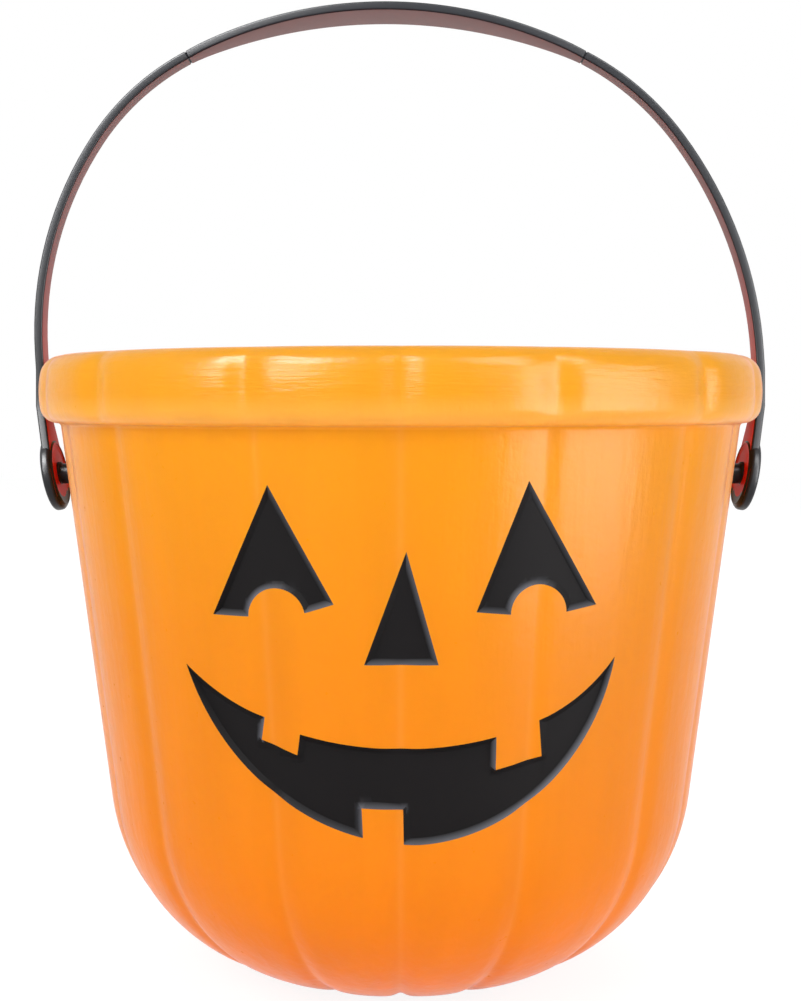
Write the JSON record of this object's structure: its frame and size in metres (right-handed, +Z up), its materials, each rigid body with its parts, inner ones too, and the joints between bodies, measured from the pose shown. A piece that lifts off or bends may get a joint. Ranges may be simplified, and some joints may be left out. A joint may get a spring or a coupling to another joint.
{
  "type": "candy pail",
  "caption": "Round orange pumpkin pail with soft lobes, a rolled collar, a black jack-o'-lantern face set into the wall and a black carrying handle that swings on snap pegs.",
  "frame": {"origin": "centre of the flat base", "axes": "+Z up, the face looks along -Y, and the handle swings about +X"},
  "size_m": [0.2158, 0.2094, 0.2798],
  "materials": {
    "orange_plastic": "bright orange moulded plastic, soft sheen",
    "black_plastic": "black moulded plastic, soft sheen",
    "face_black": "flat black"
  },
  "bodies": {
    "pail": {"pail": "orange_plastic", "left_eye": "face_black", "right_eye": "face_black", "nose": "face_black", "mouth": "face_black"},
    "handle": {"handle": "black_plastic"}
  },
  "joints": [
    {"name": "handle_swing", "type": "hinge", "parent": "pail", "child": "handle", "pos_m": [0, 0, 0.1412], "axis": [1, 0, 0], "range_deg": [-135, 135]}
  ]
}
